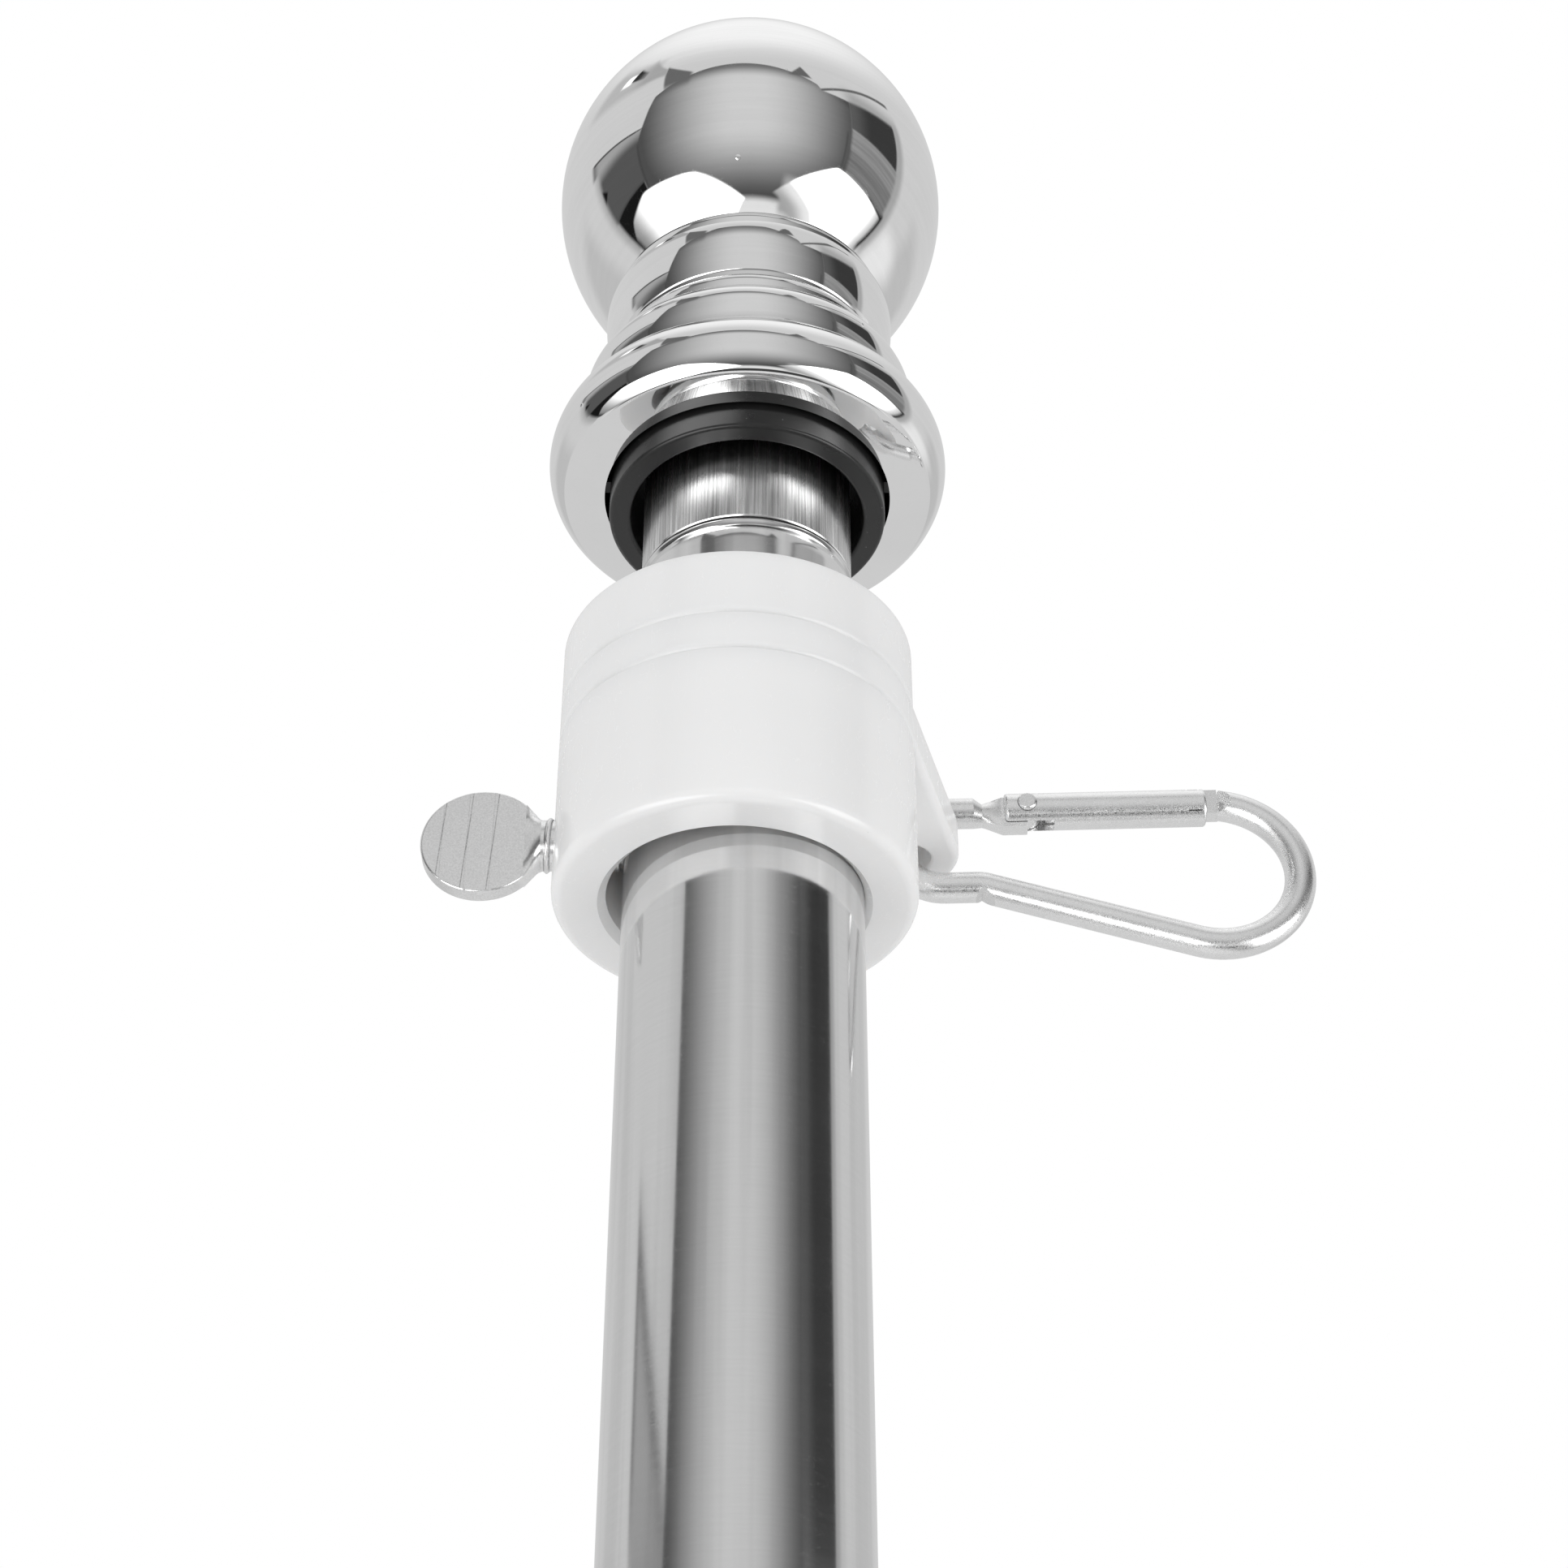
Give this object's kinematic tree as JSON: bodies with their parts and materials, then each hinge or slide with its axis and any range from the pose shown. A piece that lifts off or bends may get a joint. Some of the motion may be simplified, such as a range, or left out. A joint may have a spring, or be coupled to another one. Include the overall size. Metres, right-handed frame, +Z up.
{
  "type": "sectional flagpole with spinning rings",
  "caption": "Steel sectional flagpole with a ball finial, clamped spinning rings and gated snap hooks for a flag.",
  "frame": {"origin": "centre of the foot plug's flat face", "axes": "+Z up along the pole, +X towards the snap hooks, thumbscrews on -X"},
  "size_m": [0.1092, 0.0539, 1.5245],
  "materials": {
    "stainless_tube": "polished steel tube with brushed tenons",
    "polished_chrome": "mirror chrome",
    "black_plastic": "satin black moulding",
    "white_plastic": "satin white moulding",
    "plated_screw": "dull nickel plating",
    "zinc_steel": "zinc plating with a fine grain"
  },
  "bodies": {
    "pole": {"foot_plug": "black_plastic", "pole_section_1": "stainless_tube", "pole_section_2": "stainless_tube", "pole_section_3": "stainless_tube", "pole_section_4": "stainless_tube", "finial_base": "polished_chrome", "finial_ball": "polished_chrome", "finial_bushing": "black_plastic"},
    "upper_ring": {"upper_ring_body": "white_plastic", "upper_ring_cap": "white_plastic"},
    "upper_spinner": {"upper_ring_spinner": "white_plastic"},
    "upper_screw": {"upper_thumbscrew": "plated_screw"},
    "upper_hook": {"upper_hook_frame": "zinc_steel", "upper_hook_rivet": "zinc_steel"},
    "upper_gate": {"upper_hook_gate": "zinc_steel", "upper_hook_spring": "zinc_steel"},
    "lower_ring": {"lower_ring_body": "white_plastic", "lower_ring_cap": "white_plastic"},
    "lower_spinner": {"lower_ring_spinner": "white_plastic"},
    "lower_screw": {"lower_thumbscrew": "plated_screw"},
    "lower_hook": {"lower_hook_frame": "zinc_steel", "lower_hook_rivet": "zinc_steel"},
    "lower_gate": {"lower_hook_gate": "zinc_steel", "lower_hook_spring": "zinc_steel"}
  },
  "joints": [
    {"name": "upper_ring_slide", "type": "slide", "parent": "pole", "child": "upper_ring", "axis": [0, 0, 1], "range_m": [-0.25, 0.02]},
    {"name": "upper_spinner_turn", "type": "hinge", "parent": "upper_ring", "child": "upper_spinner", "pos_m": [-0.00093, 0, 1.40433], "axis": [0, 0, 1], "continuous": true},
    {"name": "upper_hook_swing", "type": "hinge", "parent": "upper_spinner", "child": "upper_hook", "pos_m": [0.02471, 0.02159, 1.40377], "axis": [0, -1, 0], "range_deg": [-90, 60]},
    {"name": "upper_gate_open", "type": "hinge", "parent": "upper_hook", "child": "upper_gate", "pos_m": [0.03553, 0.02159, 1.40981], "axis": [0, 1, 0], "range_deg": [0, 25], "stiffness_Nm_per_rad": 0.02, "springref_deg": -34.38},
    {"name": "upper_thumbscrew_turn", "type": "hinge", "parent": "upper_ring", "child": "upper_screw", "pos_m": [-0.03058, 0, 1.38905], "axis": [-1, 0, 0], "range_deg": [0, 450]},
    {"name": "lower_ring_slide", "type": "slide", "parent": "pole", "child": "lower_ring", "axis": [0, 0, 1], "range_m": [-0.25, 0.25]},
    {"name": "lower_spinner_turn", "type": "hinge", "parent": "lower_ring", "child": "lower_spinner", "pos_m": [-0.00093, 0, 0.50433], "axis": [0, 0, 1], "continuous": true},
    {"name": "lower_hook_swing", "type": "hinge", "parent": "lower_spinner", "child": "lower_hook", "pos_m": [0.02471, 0.02159, 0.50377], "axis": [0, -1, 0], "range_deg": [-90, 60]},
    {"name": "lower_gate_open", "type": "hinge", "parent": "lower_hook", "child": "lower_gate", "pos_m": [0.03553, 0.02159, 0.50981], "axis": [0, 1, 0], "range_deg": [0, 25], "stiffness_Nm_per_rad": 0.02, "springref_deg": -34.38},
    {"name": "lower_thumbscrew_turn", "type": "hinge", "parent": "lower_ring", "child": "lower_screw", "pos_m": [-0.03058, 0, 0.48905], "axis": [-1, 0, 0], "range_deg": [0, 450]}
  ]
}
